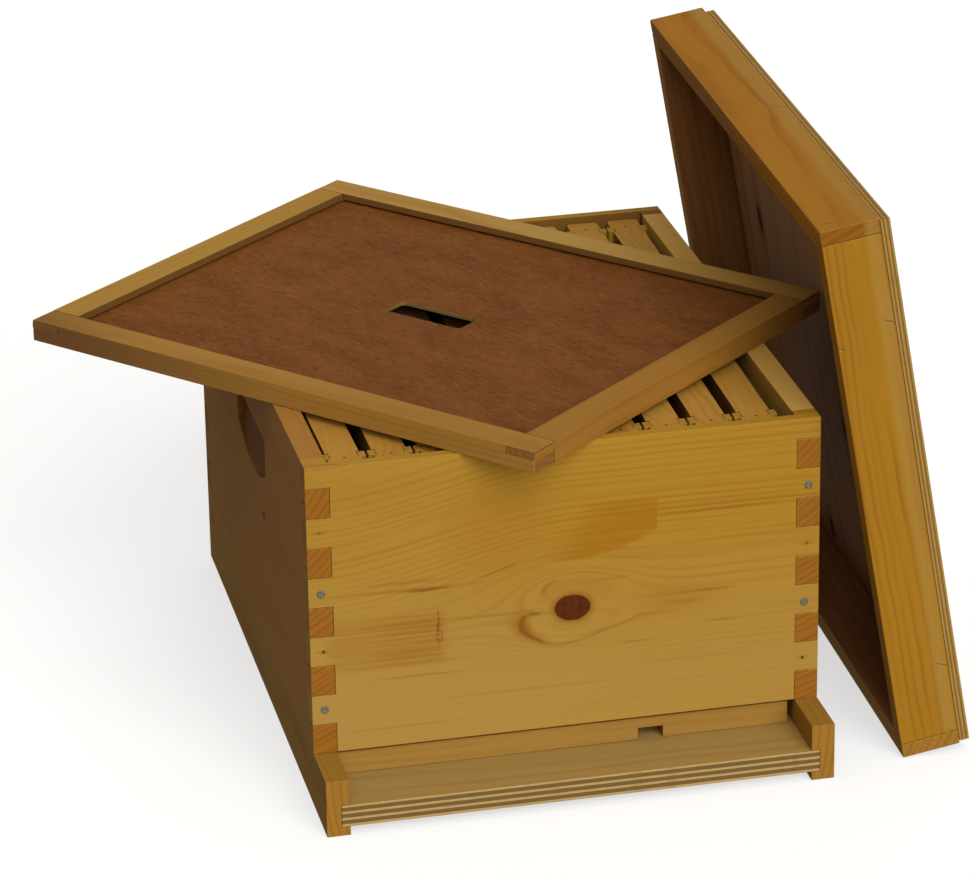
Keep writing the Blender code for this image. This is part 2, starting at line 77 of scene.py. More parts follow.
class Tree:
    """A material's node tree, with short calls for the nodes that the woods are made from."""

    def __init__(self, name):
        self.material = bpy.data.materials.new(name)
        self.material.use_nodes = True
        self.nodes = self.material.node_tree.nodes
        self.links = self.material.node_tree.links
        self.shader = self.nodes["Principled BSDF"]
        self.coords = self.nodes.new("ShaderNodeTexCoord")

    def put(self, socket, value):
        if isinstance(value, bpy.types.NodeSocket):
            self.links.new(value, socket)
        else:
            socket.default_value = value

    def math(self, operation, a, b=0.0, clamp=False):
        node = self.nodes.new("ShaderNodeMath")
        node.operation = operation
        node.use_clamp = clamp
        for socket, value in zip(node.inputs, (a, b)):
            self.put(socket, value)
        return node.outputs[0]

    def add(self, a, b):
        return self.math("ADD", a, b)

    def sub(self, a, b):
        return self.math("SUBTRACT", a, b)

    def mul(self, a, b):
        return self.math("MULTIPLY", a, b)

    def vector(self, x, y, z=0.0):
        node = self.nodes.new("ShaderNodeCombineXYZ")
        for socket, value in zip(node.inputs, (x, y, z)):
            self.put(socket, value)
        return node.outputs[0]

    def split(self, vector):
        node = self.nodes.new("ShaderNodeSeparateXYZ")
        self.put(node.inputs[0], vector)
        return node.outputs

    def local(self, origin, axes):
        """Coordinates along the three given axes from the origin, in metres."""
        node = self.nodes.new("ShaderNodeMapping")
        node.vector_type = "TEXTURE"
        self.put(node.inputs["Vector"], self.coords.outputs["Object"])
        node.inputs["Location"].default_value = origin
        node.inputs["Rotation"].default_value = Matrix(axes).transposed().to_euler()
        return self.split(node.outputs[0])

    def facing(self, axis):
        """1 on the faces that look along the axis, either way, and 0 elsewhere."""
        node = self.nodes.new("ShaderNodeVectorMath")
        node.operation = "DOT_PRODUCT"
        self.put(node.inputs[0], self.coords.outputs["Normal"])
        node.inputs[1].default_value = axis
        return self.step(self.math("ABSOLUTE", node.outputs["Value"]), 0.84, 0.94)

    def step(self, value, low, high):
        """0 below low, 1 above high, smooth between; falls instead where low is above high."""
        node = self.nodes.new("ShaderNodeMapRange")
        node.interpolation_type = "SMOOTHSTEP"
        self.put(node.inputs["Value"], value)
        flip = low > high
        self.put(node.inputs["From Min"], min(low, high))
        self.put(node.inputs["From Max"], max(low, high))
        self.put(node.inputs["To Min"], 1.0 if flip else 0.0)
        self.put(node.inputs["To Max"], 0.0 if flip else 1.0)
        return node.outputs[0]

    def noise(self, x, y, z=0.0, detail=2.0, roughness=0.5):
        node = self.nodes.new("ShaderNodeTexNoise")
        self.put(node.inputs["Vector"], self.vector(x, y, z))
        node.inputs["Scale"].default_value = 1.0
        node.inputs["Detail"].default_value = detail
        node.inputs["Roughness"].default_value = roughness
        return node.outputs["Fac"]

    def mix(self, fac, a, b):
        node = self.nodes.new("ShaderNodeMix")
        node.data_type = "RGBA"
        self.put(node.inputs["Factor"], fac)
        colours = [socket for socket in node.inputs if socket.type == "RGBA"]
        for socket, value in zip(colours, (a, b)):
            if isinstance(value, tuple) and len(value) == 3:
                value = (*value, 1.0)
            self.put(socket, value)
        return [socket for socket in node.outputs if socket.type == "RGBA"][0]

    def spot(self, x, y, cx, cy, rx, ry, edge=0.3):
        """1 inside an ellipse, falling to 0 over a share of its radius outside."""
        return self.step(self.oval(x, y, cx, cy, rx, ry), 1.0 + edge, 1.0 - edge)

    def oval(self, x, y, cx, cy, rx, ry):
        """Distance from a centre, as a share of an ellipse's radius."""
        across = self.math("DIVIDE", self.sub(x, cx), rx)
        up = self.math("DIVIDE", self.sub(y, cy), ry)
        return self.math("SQRT", self.add(self.mul(across, across), self.mul(up, up)))

    def box(self, x, y, x0, x1, y0, y1, soft):
        """1 inside a rectangle with soft edges."""
        sides = self.mul(self.step(x, x0 - soft, x0 + soft), self.step(x, x1 + soft, x1 - soft))
        ends = self.mul(self.step(y, y0 - soft, y0 + soft), self.step(y, y1 + soft, y1 - soft))
        return self.mul(sides, ends)

    def finish(self, colour, roughness, height, strength=0.35, distance=0.4 * MM):
        self.put(self.shader.inputs["Base Color"], colour)
        self.put(self.shader.inputs["Roughness"], roughness)
        self.shader.inputs["Specular IOR Level"].default_value = WOOD_SHEEN
        bump = self.nodes.new("ShaderNodeBump")
        bump.inputs["Strength"].default_value = strength
        bump.inputs["Distance"].default_value = distance
        self.put(bump.inputs["Height"], height)
        self.put(self.shader.inputs["Normal"], bump.outputs["Normal"])
        return self.material


PALE = (0.350, 0.190, 0.019)
LATE = (0.245, 0.098, 0.006)
END = (0.236, 0.090, 0.010)
SOFT_END = (0.262, 0.125, 0.018)
KNOT = (0.078, 0.019, 0.004)


def pine(name, origin, axes, pith=(0.3, -0.12), seed=0.0, pale=PALE, late=LATE, end=END, contrast=1.0,
         wander=0.006, ring=5.5 * MM, knots=(), warp=None, marks=None):
    """Sawn pine. axes are along the grain, across the board's width and through its thickness. pith is
    where the tree's centre lay, across and through, and ring is one year's growth. knots are (along,
    across, half length, half width)."""
    t = Tree(name)
    x, y, z = t.local(origin, axes)
    wave = t.noise(t.mul(x, 5.0), t.mul(y, 8.0), t.add(t.mul(z, 8.0), seed), 2.0)
    rings = y
    for kx, ky, rx, ry in knots:
        # Grain parts and closes again around a knot.
        near = t.math("EXPONENT", t.mul(t.math("POWER", t.oval(x, y, kx, ky, rx * 3.4, ry * 2.6), 2.0), -1.0))
        rings = t.sub(rings, t.mul(t.sub(y, ky), t.mul(near, 1.25)))
    across, through = t.sub(rings, pith[0]), t.sub(z, pith[1])
    radius = t.math("SQRT", t.add(t.mul(across, across), t.mul(through, through)))
    radius = t.add(radius, t.mul(t.sub(wave, 0.5), wander * 2))
    if warp:
        radius = warp(t, x, y, radius)
    drift = t.noise(t.mul(radius, 26.0), t.add(t.mul(x, 0.8), seed), 0.0, 2.0)
    phase = t.math("FRACT", t.add(t.mul(radius, 1.0 / ring), t.mul(drift, 5.0)))
    late_edge = t.mul(t.step(phase, 0.45, 0.90), t.step(phase, 1.0, 0.93))
    bands = t.noise(t.add(t.mul(x, 1.1), seed), t.mul(radius, 95.0), 0.0, 3.0, 0.62)
    strength = t.step(t.noise(t.mul(x, 5.0), t.mul(radius, 70.0), seed + 5.0, 2.0), 0.30, 0.68)
    lines = t.noise(t.add(t.mul(x, 3.5), seed), t.mul(radius, 620.0), 3.0, 2.0, 0.6)
    fibre = t.noise(t.mul(x, 28.0), t.mul(y, 1500.0), t.mul(z, 1500.0), 2.0, 0.6)
    cloud = t.noise(t.add(t.mul(x, 4.0), seed), t.mul(y, 14.0), t.mul(z, 14.0), 3.0)
    dark = t.mul(t.mul(late_edge, strength), 0.60 * contrast)
    dark = t.add(dark, t.mul(t.step(bands, 0.50, 0.78), 0.34 * contrast))
    dark = t.add(dark, t.mul(t.step(lines, 0.50, 0.80), 0.30 * contrast))
    dark = t.add(dark, t.mul(t.sub(cloud, 0.5), 0.60))
    dark = t.add(dark, t.mul(t.sub(fibre, 0.5), 0.20))
    colour = t.mix(t.math("ADD", dark, 0.12, clamp=True), pale, late)
    butt = t.facing(axes[0])
    arcs = t.add(t.mul(late_edge, 0.7), t.mul(t.step(bands, 0.4, 0.7), 0.3))
    grain_end = t.mix(t.mul(arcs, 0.7), tuple(1.18 * c for c in end), tuple(0.70 * c for c in end))
    pores = t.noise(t.mul(x, 40.0), t.mul(y, 900.0), t.mul(z, 900.0), 1.0)
    grain_end = t.mix(t.mul(t.step(pores, 0.55, 0.75), 0.3), grain_end, tuple(0.5 * c for c in end))
    colour = t.mix(butt, colour, grain_end)
    height = t.add(t.mul(fibre, 0.5), t.mul(bands, 0.5))
    if marks:
        colour, height = marks(t, x, y, z, colour, height)
    for kx, ky, rx, ry in knots:
        ragged = t.mul(t.sub(t.noise(t.mul(x, 160.0), t.mul(y, 160.0), 0.0, 3.0), 0.5), 0.22)
        reach = t.add(t.oval(x, y, kx, ky, rx, ry), ragged)
        halo = t.mul(t.step(reach, 1.45, 0.95), 0.55)
        colour = t.mix(halo, colour, tuple(c * s for c, s in zip(late, (0.86, 0.62, 0.5))))
        heart = t.step(reach, 1.06, 0.90)
        inside = t.mix(t.step(reach, 0.75, 1.0), tuple(1.1 * c for c in KNOT), tuple(0.75 * c for c in KNOT))
        mottle = t.step(t.noise(t.mul(x, 230.0), t.mul(y, 230.0), 2.0, 2.0), 0.46, 0.66)
        inside = t.mix(t.mul(mottle, 0.5), inside, tuple(0.45 * c for c in KNOT))
        colour = t.mix(heart, colour, inside)
        height = t.sub(height, t.mul(heart, 0.4))
    rough = t.add(t.mul(t.add(fibre, bands), 0.09), 0.50)
    return t.finish(colour, rough, height)


def dress(names, material, width=0.5 * MM, segments=2):
    """Gives CAD nodes their wood, with the arrises eased as a plane or a cloth leaves them."""
    for name in names:
        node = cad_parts[name]
        node.data.materials.clear()
        node.data.materials.append(material)
        weld = node.modifiers.new("weld", "WELD")
        weld.merge_threshold = 1e-5
        flat = node.modifiers.new("flat", "DECIMATE")
        flat.decimate_type = "DISSOLVE"
        flat.angle_limit = math.radians(0.5)
        ease = node.modifiers.new("ease", "BEVEL")
        ease.width = width
        ease.segments = segments
        ease.limit_method = "ANGLE"
        ease.angle_limit = math.radians(35)
        ease.harden_normals = True


def at(x, y, z):
    """A point from the middle of the hive, at the body's lower edge, in millimetres."""
    return HIVE + Vector((x, y, z)) * MM


# --- Hive body ------------------------------------------------------------------------------------------

def front_warp(t, x, y, radius):
    """The rings climb towards the middle in the upper left of the board."""
    rise = t.mul(t.step(x, -0.205, 0.010), t.step(y, 0.060, 0.155))
    return t.add(radius, t.mul(rise, 0.034))


def arc(t, x, y, cx, cy, rx, ry, width):
    """1 along an ellipse's outline, fading over the given share of its radius."""
    return t.step(t.math("ABSOLUTE", t.sub(t.oval(x, y, cx, cy, rx, ry), 1.0)), width, 0.0)


def slant(t, x, y, x0, y0, slope, thick):
    """1 along a slanted line, fading over its thickness."""
    off = t.sub(t.sub(y, y0), t.mul(t.sub(x, x0), slope))
    return t.step(t.math("ABSOLUTE", off), thick, 0.0)


DEEP, BROWN, TAN = (0.150, 0.054, 0.007), (0.205, 0.082, 0.008), (0.235, 0.098, 0.009)
FRONT_STREAKS = (
    # (along, across, half length, half width, amount, tone)
    (-0.1120, 0.1320, 0.018, 0.0012, 0.75, DEEP), (-0.1350, 0.1335, 0.060, 0.0012, 0.40, BROWN),
    (-0.1300, 0.1400, 0.028, 0.0012, 0.40, BROWN), (-0.1180, 0.0585, 0.030, 0.0010, 0.40, BROWN),
    (-0.1050, 0.1045, 0.075, 0.0010, 0.30, BROWN), (-0.1300, 0.0700, 0.050, 0.0012, 0.30, BROWN),
    (-0.0270, 0.1010, 0.0045, 0.0014, 0.70, DEEP), (-0.0335, 0.0900, 0.0040, 0.0060, 0.35, BROWN),
    (0.0370, 0.1245, 0.013, 0.0012, 0.25, BROWN), (0.1000, 0.1060, 0.034, 0.0018, 0.40, TAN),
    (0.0935, 0.0985, 0.015, 0.0022, 0.35, TAN), (0.1150, 0.1062, 0.015, 0.0008, 0.45, BROWN),
    (0.0900, 0.1030, 0.038, 0.0120, 0.22, TAN), (0.0536, 0.0680, 0.013, 0.0009, 0.38, BROWN),
    (0.1266, 0.0785, 0.013, 0.0009, 0.42, BROWN), (-0.0580, 0.1035, 0.022, 0.0010, 0.30, BROWN),
    (0.0710, 0.0905, 0.014, 0.0018, 0.32, TAN), (0.1250, 0.1755, 0.056, 0.0010, 0.60, BROWN),
    (0.1400, 0.1500, 0.050, 0.0009, 0.28, BROWN), (0.1100, 0.0480, 0.045, 0.0009, 0.22, BROWN),
    (-0.0300, 0.0360, 0.070, 0.0009, 0.22, BROWN), (-0.1300, 0.0160, 0.045, 0.0009, 0.22, BROWN))


def front_marks(t, x, y, z, colour, height):
    streaks = t.noise(t.mul(x, 6.0), t.mul(y, 420.0), 7.0, 2.0)
    wobble = t.mul(t.sub(t.noise(t.mul(x, 45.0), t.mul(y, 45.0), 3.0, 2.0), 0.5), 0.006)
    wx, wy = t.add(x, wobble), t.add(y, wobble)
    # The board is paler towards its lower edge and towards the left.
    faded = t.add(t.mul(t.step(y, 0.190, 0.020), 0.60), t.mul(t.step(x, 0.090, -0.150), 0.20))
    colour = t.mix(faded, colour, (0.348, 0.212, 0.052))
    # The darker patch above the knot: straight above and at the right, curved below.
    sag = t.math("POWER", t.math("DIVIDE", t.sub(x, 0.002), 0.072), 2.0)
    lower = t.add(0.1435, t.mul(sag, 0.0195))
    patch = t.mul(t.step(t.sub(y, lower), -0.0012, 0.0022), t.step(y, 0.1925, 0.1895))
    lean = t.sub(x, t.mul(t.sub(y, 0.145), 0.8))
    patch = t.mul(patch, t.mul(t.step(x, 0.0740, 0.0726), t.step(lean, -0.036, 0.012)))
    patch = t.mul(patch, t.add(0.55, t.mul(t.step(streaks, 0.3, 0.7), 0.40)))
    colour = t.mix(patch, colour, (0.292, 0.122, 0.006))
    blaze = t.mul(t.spot(wx, wy, -0.052, 0.178, 0.040, 0.042, 0.7), t.add(0.15, t.mul(streaks, 0.35)))
    colour = t.mix(blaze, colour, (0.300, 0.128, 0.007))
    # The reddish patch at the left, in level streaks.
    blush = t.mul(t.box(x, y, -0.192, -0.099, 0.069, 0.112, 0.006), t.step(streaks, 0.20, 0.65))
    blush = t.mul(blush, t.add(0.45, t.mul(t.step(x, -0.175, -0.125), 0.33)))
    colour = t.mix(blush, colour, (0.262, 0.110, 0.013))
    # Grain that flows round the knot, darkest at its lower left.
    flow = t.mul(arc(t, wx, wy, -0.0020, 0.0925, 0.0355, 0.0195, 0.125), t.step(y, 0.1020, 0.0985))
    share = t.add(t.mul(t.step(x, 0.030, 0.005), 0.30), t.mul(t.step(x, -0.012, -0.026), 0.50))
    flow = t.mul(flow, share)
    hook = t.mul(arc(t, wx, wy, -0.0080, 0.1180, 0.0105, 0.0095, 0.26), t.step(x, -0.006, -0.012))
    flow = t.add(flow, t.mul(t.mul(hook, t.step(y, 0.115, 0.119)), 0.45))
    tail = slant(t, wx, wy, 0.0256, 0.0786, 0.334, 0.0028)
    flow = t.add(flow, t.mul(t.mul(tail, t.mul(t.step(x, 0.014, 0.024), t.step(x, 0.068, 0.050))), 0.38))
    fleck = slant(t, x, t.add(y, t.mul(wobble, 0.3)), -0.0684, 0.1375, 0.338, 0.0012)
    flow = t.add(flow, t.mul(t.mul(fleck, t.mul(t.step(x, -0.074, -0.066), t.step(x, -0.034, -0.044))), 0.50))
    flush = t.mul(arc(t, wx, wy, -0.0020, 0.0945, 0.0370, 0.0200, 0.34), t.step(x, -0.008, -0.030))
    colour = t.mix(t.mul(t.mul(flush, t.step(y, 0.1080, 0.0960)), 0.70), colour, (0.262, 0.104, 0.009))
    colour = t.mix(t.math("MINIMUM", flow, 1.0), colour, (0.172, 0.062, 0.006))
    for cx, cy, rx, ry, amount, tone in FRONT_STREAKS:
        ragged = t.add(cy, t.mul(wobble, 0.35))
        colour = t.mix(t.mul(t.spot(x, y, cx, ragged, rx, ry, 0.75), amount), colour, tone)
    bent = t.add(x, t.mul(wobble, 0.7))
    crack = t.mul(t.spot(bent, y, -0.104, 0.0990, 0.0011, 0.015, 0.5), t.step(streaks, 0.34, 0.50))
    loop = arc(t, bent, y, -0.1030, 0.0905, 0.0024, 0.0045, 0.35)
    crack = t.math("MAXIMUM", crack, t.mul(loop, 0.7))
    colour = t.mix(t.mul(crack, 0.70), colour, (0.130, 0.054, 0.008))
    for hx, hy, deep in ((-196.4, 189.5, 0.4), (-195.9, 88.0, 1.0), (196.0, 137.0, 0.5), (193.5, 36.7, 1.0)):
        hole = t.mul(t.spot(x, y, hx * MM, hy * MM, 0.0014, 0.0014, 0.35), deep)
        colour = t.mix(hole, colour, (0.030, 0.014, 0.006))
        stain = t.mul(t.spot(x, y, hx * MM, hy * MM, 0.0045, 0.0018, 0.7), 0.35)
        colour = t.mix(stain, colour, (0.220, 0.085, 0.008))
    return colour, t.sub(height, crack)


FRONT_AXES = (X, Z, -Y)
dress(["body_front"], pine(
    "pine_front", at(0, -FRONT_MM, 0), FRONT_AXES, pith=(0.60, 0.10), seed=2.3, contrast=0.74, wander=0.0025,
    knots=((0.0043, 0.1030, 0.0148, 0.0112),), warp=front_warp, marks=front_marks))


def rear_marks(t, x, y, z, colour, height):
    """The rest cut for the frame lugs is painted darker."""
    rest = t.mul(t.step(y, BODY_HEIGHT - 0.0170, BODY_HEIGHT - 0.0162), t.step(z, -0.0088, -0.0093))
    return t.mix(t.mul(rest, 0.80), colour, (0.150, 0.072, 0.018)), height


dress(["body_rear"], pine(
    "pine_rear", at(0, FRONT_MM, 0), (-X, Z, Y), pith=(0.60, -0.14), seed=8.1, marks=rear_marks,
    knots=((0.085, 0.060, 0.009, 0.007),)))
SIDE_AXES = (Y, Z, X)


def side_marks(sign):
    """The cut of the hand-hold is painted darker and redder than the face, as painted shade in its
    recess, and nails show near the front edge.
    """
    def paint(t, x, y, z, colour, height):
        depth = t.mul(t.split(t.coords.outputs["Object"])[0], sign)
        face = sign * HIVE.x + HALF_X
        sunk = t.step(depth, face - 0.0004, face - 0.0020)
        sunk = t.mul(sunk, t.step(depth, face - 0.0155, face - 0.0140))
        scoop = t.mul(sunk, t.box(x, y, -0.0675, 0.0675, 0.140, 0.194, 0.0005))
        # Painted shade in the hand-hold's recess.
        colour = t.mix(t.mul(scoop, 0.80), colour, (0.140, 0.048, 0.012))
        if sign > 0:
            # The upper edge is painted paler: painted light against the outer cover's shadow on the wall's
            # top.
            edge = t.step(y, BODY_HEIGHT - 0.0007, BODY_HEIGHT - 0.0002)
            colour = t.mix(t.mul(edge, 0.60), colour, (0.600, 0.345, 0.080))
        for hy in (213, 110, 73, 45, 22):
            colour = t.mix(t.spot(x, y, -0.243, hy * MM, 0.0018, 0.0018, 0.35), colour, (0.035, 0.016, 0.006))
        return colour, height
    return paint


dress(["body_left"], pine(
    "pine_left", at(-SIDE_MM, 0, 0), SIDE_AXES, pith=(0.30, -0.12), seed=4.7, marks=side_marks(-1),
    pale=(0.325, 0.150, 0.032), late=(0.235, 0.092, 0.016), contrast=0.7,
    knots=((-0.0526, 0.1202, 0.0040, 0.0032),)))
# The right wall's tone is raised above the other boards' as painted light, against the outer cover's shadow
# on its top.
dress(["body_right"], pine(
    "pine_right", at(SIDE_MM, 0, 0), SIDE_AXES, pith=(0.34, -0.13), seed=6.2, marks=side_marks(1),
    pale=(0.395, 0.222, 0.046), late=(0.285, 0.128, 0.018),
    knots=((-0.130, 0.150, 0.010, 0.008),)))


# --- Bottom board ---------------------------------------------------------------------------------------

def rail_joint(t, x, y, z, colour, height):
    """The left rail is two lengths, butted together behind the middle."""
    seam = t.spot(x, y, 0.025, 0.0, 0.0005, 0.046, 0.25)
    return t.mix(t.mul(seam, 0.8), colour, (0.030, 0.014, 0.006)), t.sub(height, seam)


dress(["bottom_rail_left"], pine(
    "pine_rail_left", at(-SIDE_MM, 0, -RAIL_MM), SIDE_AXES, pith=(0.05, 0.26), seed=1.4, end=SOFT_END,
    pale=(0.285, 0.150, 0.026), late=(0.215, 0.092, 0.012), marks=rail_joint))
dress(["bottom_rail_right"], pine(
    "pine_rail_right", at(SIDE_MM - BOARD_MM, 0, -RAIL_MM), SIDE_AXES, pith=(0.06, -0.25), seed=9.4,
    end=SOFT_END, pale=(0.285, 0.150, 0.026), late=(0.215, 0.092, 0.012)))
dress(["entrance_reducer", "bottom_rear_cleat"], pine(
    "pine_sticks", at(0, -FRONT_MM, FLOOR_TOP_MM), FRONT_AXES, pith=(0.20, 0.05), seed=3.3, contrast=0.7,
    pale=(0.298, 0.168, 0.036), late=(0.235, 0.108, 0.013)))


# --- Frames ---------------------------------------------------------------------------------------------

def bar_marks(t, x, y, z, colour, height):
    """The bars' sides are painted dark but at the lugs, and so are their tops under the inner cover's slot:
    painted shade in the gaps between the bars and below the slot."""
    # Painted shade on the bars' sides, in the gaps between them.
    sides = t.mul(t.sub(1.0, t.facing(Z)), t.step(t.math("ABSOLUTE", x), 0.222, 0.190))
    colour = t.mix(t.mul(sides, 0.80), colour, (0.050, 0.022, 0.007))
    # Painted shade on the bar tops under the slot.
    painted_slot_shade = t.mul(t.spot(x, y, INNER.y - HIVE.y, INNER.x - HIVE.x, 0.085, 0.085, 0.30), 0.85)
    return t.mix(painted_slot_shade, colour, (0.040, 0.018, 0.007)), height


bars = [f"frame_{i + 1:02d}_{part}" for i in range(10) for part in ("top_bar", "bottom_bar")]
dress(bars, pine("pine_bars", at(0, 0, TOP_BAR_MM), (Y, X, -Z), pith=(0.03, -0.30), seed=5.5, contrast=0.8,
                 ring=3.0 * MM, wander=0.02, pale=(0.400, 0.210, 0.036), late=(0.300, 0.124, 0.016),
                 marks=bar_marks), 0.4 * MM)
ends = [f"frame_{i + 1:02d}_{end}_end_bar" for i in range(10) for end in ("front", "rear")]
dress(ends, pine("pine_end_bars", at(0, 0, 0), (Z, X, Y), pith=(0.03, -0.30), seed=7.5, contrast=0.8,
                 end=(0.300, 0.165, 0.032)), 0.5 * MM)


# --- Inner cover ----------------------------------------------------------------------------------------

def inner_face(reach, paint_outer_shade):
    """The rails' faces towards the panel are darker than their tops. reach is half the opening. A rail so
    marked also has painted shade along its outer face, and is darker at its far end."""
    def paint(t, x, y, z, colour, height):
        inward = t.step(t.math("ABSOLUTE", y), reach + 0.0009, reach + 0.0003)
        colour = t.mix(t.mul(inward, 0.90), colour, (0.105, 0.045, 0.012))
        if paint_outer_shade:
            # Painted shade along the outer face, and a darker far end.
            outward = t.mul(t.step(y, reach + 0.0262, reach + 0.0268), t.step(x, -0.08, 0.26))
            darkening = t.math("MAXIMUM", outward, t.mul(t.step(x, 0.12, 0.26), 0.45))
            colour = t.mix(darkening, colour, (0.135, 0.060, 0.020))
        return colour, height
    return paint


INNER_RAILS = (
    # (name, along, half the opening across it, pale, late, end grain, whether its outer face gets painted
    # shade)
    ("left", INNER_Y, 0.1795, (0.310, 0.158, 0.030), (0.232, 0.100, 0.016), (0.205, 0.088, 0.020), True),
    ("right", INNER_Y, 0.1795, (0.376, 0.222, 0.052), (0.292, 0.142, 0.028), (0.205, 0.088, 0.020), False),
    ("front", INNER_X, 0.2255, (0.300, 0.142, 0.024), (0.225, 0.090, 0.012), (0.205, 0.088, 0.020), False),
    ("rear", INNER_X, 0.2255, (0.345, 0.195, 0.036), (0.265, 0.120, 0.018), (0.140, 0.066, 0.026), False))
for index, (name, along, reach, pale, late, end, paint_outer_shade) in enumerate(INNER_RAILS):
    dress([f"inner_cover_{name}_rail"], pine(
        f"pine_inner_{name}", INNER, (along, Z.cross(along), Z), pith=(0.22 * (-1) ** index, -0.16),
        seed=11.0 + index, contrast=0.8, end=end, pale=pale, late=late,
        marks=inner_face(reach, paint_outer_shade)), 0.7 * MM, 3)


VENEER_TURN = math.radians(30.0)


def panel_wood(name):
    """Hardboard-smooth red veneer, with short fine strokes along the grain."""
    t = Tree(name)
    along = Vector((-math.sin(VENEER_TURN), math.cos(VENEER_TURN), 0))
    x, y, z = t.local(INNER, (along, Z.cross(along), Z))
    bend = t.noise(t.mul(x, 7.0), t.mul(y, 10.0), 1.0, 3.0)
    y = t.add(y, t.mul(bend, 0.024))
    broad = t.noise(t.mul(x, 12.0), t.mul(y, 26.0), 2.0, 5.0, 0.70)
    fine = t.noise(t.mul(x, 60.0), t.mul(y, 360.0), 4.0, 3.0, 0.65)
    light = t.noise(t.mul(x, 75.0), t.mul(y, 420.0), 9.0, 2.0, 0.6)
    pores = t.noise(t.mul(x, 100.0), t.mul(y, 700.0), 6.0, 1.0)
    colour = t.mix(t.step(broad, 0.36, 0.64), (0.178, 0.062, 0.013), (0.140, 0.045, 0.010))
    colour = t.mix(t.mul(t.step(light, 0.50, 0.68), 0.55), colour, (0.225, 0.086, 0.021))
    colour = t.mix(t.mul(t.step(fine, 0.50, 0.68), 0.50), colour, (0.098, 0.030, 0.008))
    colour = t.mix(t.mul(t.step(pores, 0.58, 0.68), 0.55), colour, (0.062, 0.020, 0.006))
    colour = t.mix(t.facing(Z), (0.150, 0.100, 0.032), colour)
    height = t.add(t.mul(fine, 0.6), t.mul(t.step(pores, 0.72, 0.60), 0.4))
    return t.finish(colour, t.add(t.mul(broad, 0.15), 0.50), height, 0.3)


dress(["inner_cover_panel"], panel_wood("veneer_inner"), 0.25 * MM)


# --- Outer cover ----------------------------------------------------------------------------------------

def rim_marks(brads, stripe, inner):
    """Darker inside the cover, a paler strip of sapwood beside the plywood, and brads with the dark scratch
    that each one left. inner is where the inner face lies through the board, and the side that is inside."""
    def paint(t, x, y, z, colour, height):
        streak = t.noise(t.mul(x, 7.0), t.mul(y, 160.0), 4.0, 3.0)
        inside = t.step(t.mul(t.sub(z, inner[0]), inner[1]), 0.0009, 0.0004)
        darkening = t.mix(t.step(streak, 0.35, 0.65), (0.195, 0.078, 0.030), (0.135, 0.051, 0.019))
        colour = t.mix(t.mul(inside, 0.85), colour, darkening)
        if stripe:
            edge = t.mul(t.sub(t.noise(t.mul(x, 9.0), 0.0, 1.0, 2.0), 0.5), 0.008)
            strip = t.mul(t.step(t.add(y, edge), 0.0320, 0.0385), t.step(y, 0.0475, 0.0455))
            strip = t.mul(strip, t.add(0.45, t.mul(streak, 0.9)))
            chalk = t.noise(t.mul(x, 16.0), t.mul(y, 160.0), 2.0, 3.0)
            colour = t.mix(t.mul(strip, 0.50), colour, (0.330, 0.198, 0.044))
            colour = t.mix(t.mul(t.mul(strip, t.step(chalk, 0.55, 0.75)), 0.4), colour, (0.300, 0.225, 0.110))
        for bx, by in brads:
            scratch = slant(t, y, x, by * MM, (bx + 2.0) * MM, -0.45, 0.0008)
            scratch = t.mul(scratch, t.box(x, y, (bx - 3.0) * MM, (bx + 7.0) * MM,
                                           (by - 5.5) * MM, (by + 4.0) * MM, 0.0008))
            colour = t.mix(t.mul(scratch, 0.70), colour, (0.070, 0.035, 0.012))
            head = t.spot(x, y, bx * MM, by * MM, 0.0010, 0.0010, 0.3)
            colour = t.mix(head, colour, (0.240, 0.190, 0.110))
        return colour, height
    return paint


OUTER_RIMS = (
    # (name, along, brads as (along, across) in mm, whether its sapwood shows, inner face, pale, late, end)
    ("right", OUTER_U, (), False, (-0.019, 1), (0.350, 0.170, 0.018), (0.262, 0.104, 0.009),
     SOFT_END),
    ("left", OUTER_U, ((545, 33), (276, 44), (12, 11)), True, (-0.445, -1), (0.328, 0.143, 0.012),
     (0.245, 0.088, 0.007), (0.205, 0.078, 0.008)),
    ("front", OUTER_V, ((376, 44), (72, 44), (10, 46), (363, 2)), True, (0.019, -1), (0.320, 0.157, 0.012),
     (0.240, 0.096, 0.007), SOFT_END),
    ("rear", OUTER_V, (), False, (0.540, 1), (0.360, 0.175, 0.022), (0.270, 0.108, 0.011),
     SOFT_END))
for index, (name, along, brads, stripe, inner, pale, late, end) in enumerate(OUTER_RIMS):
    dress([f"outer_cover_{name}_rim"], pine(
        f"pine_outer_{name}", OUTER, (along, OUTER_W, along.cross(OUTER_W)), pith=(0.18, 0.10 + 0.05 * index),
        seed=15.0 + index, pale=pale, late=late, end=end, marks=rim_marks(brads, stripe, inner)), 0.8 * MM)


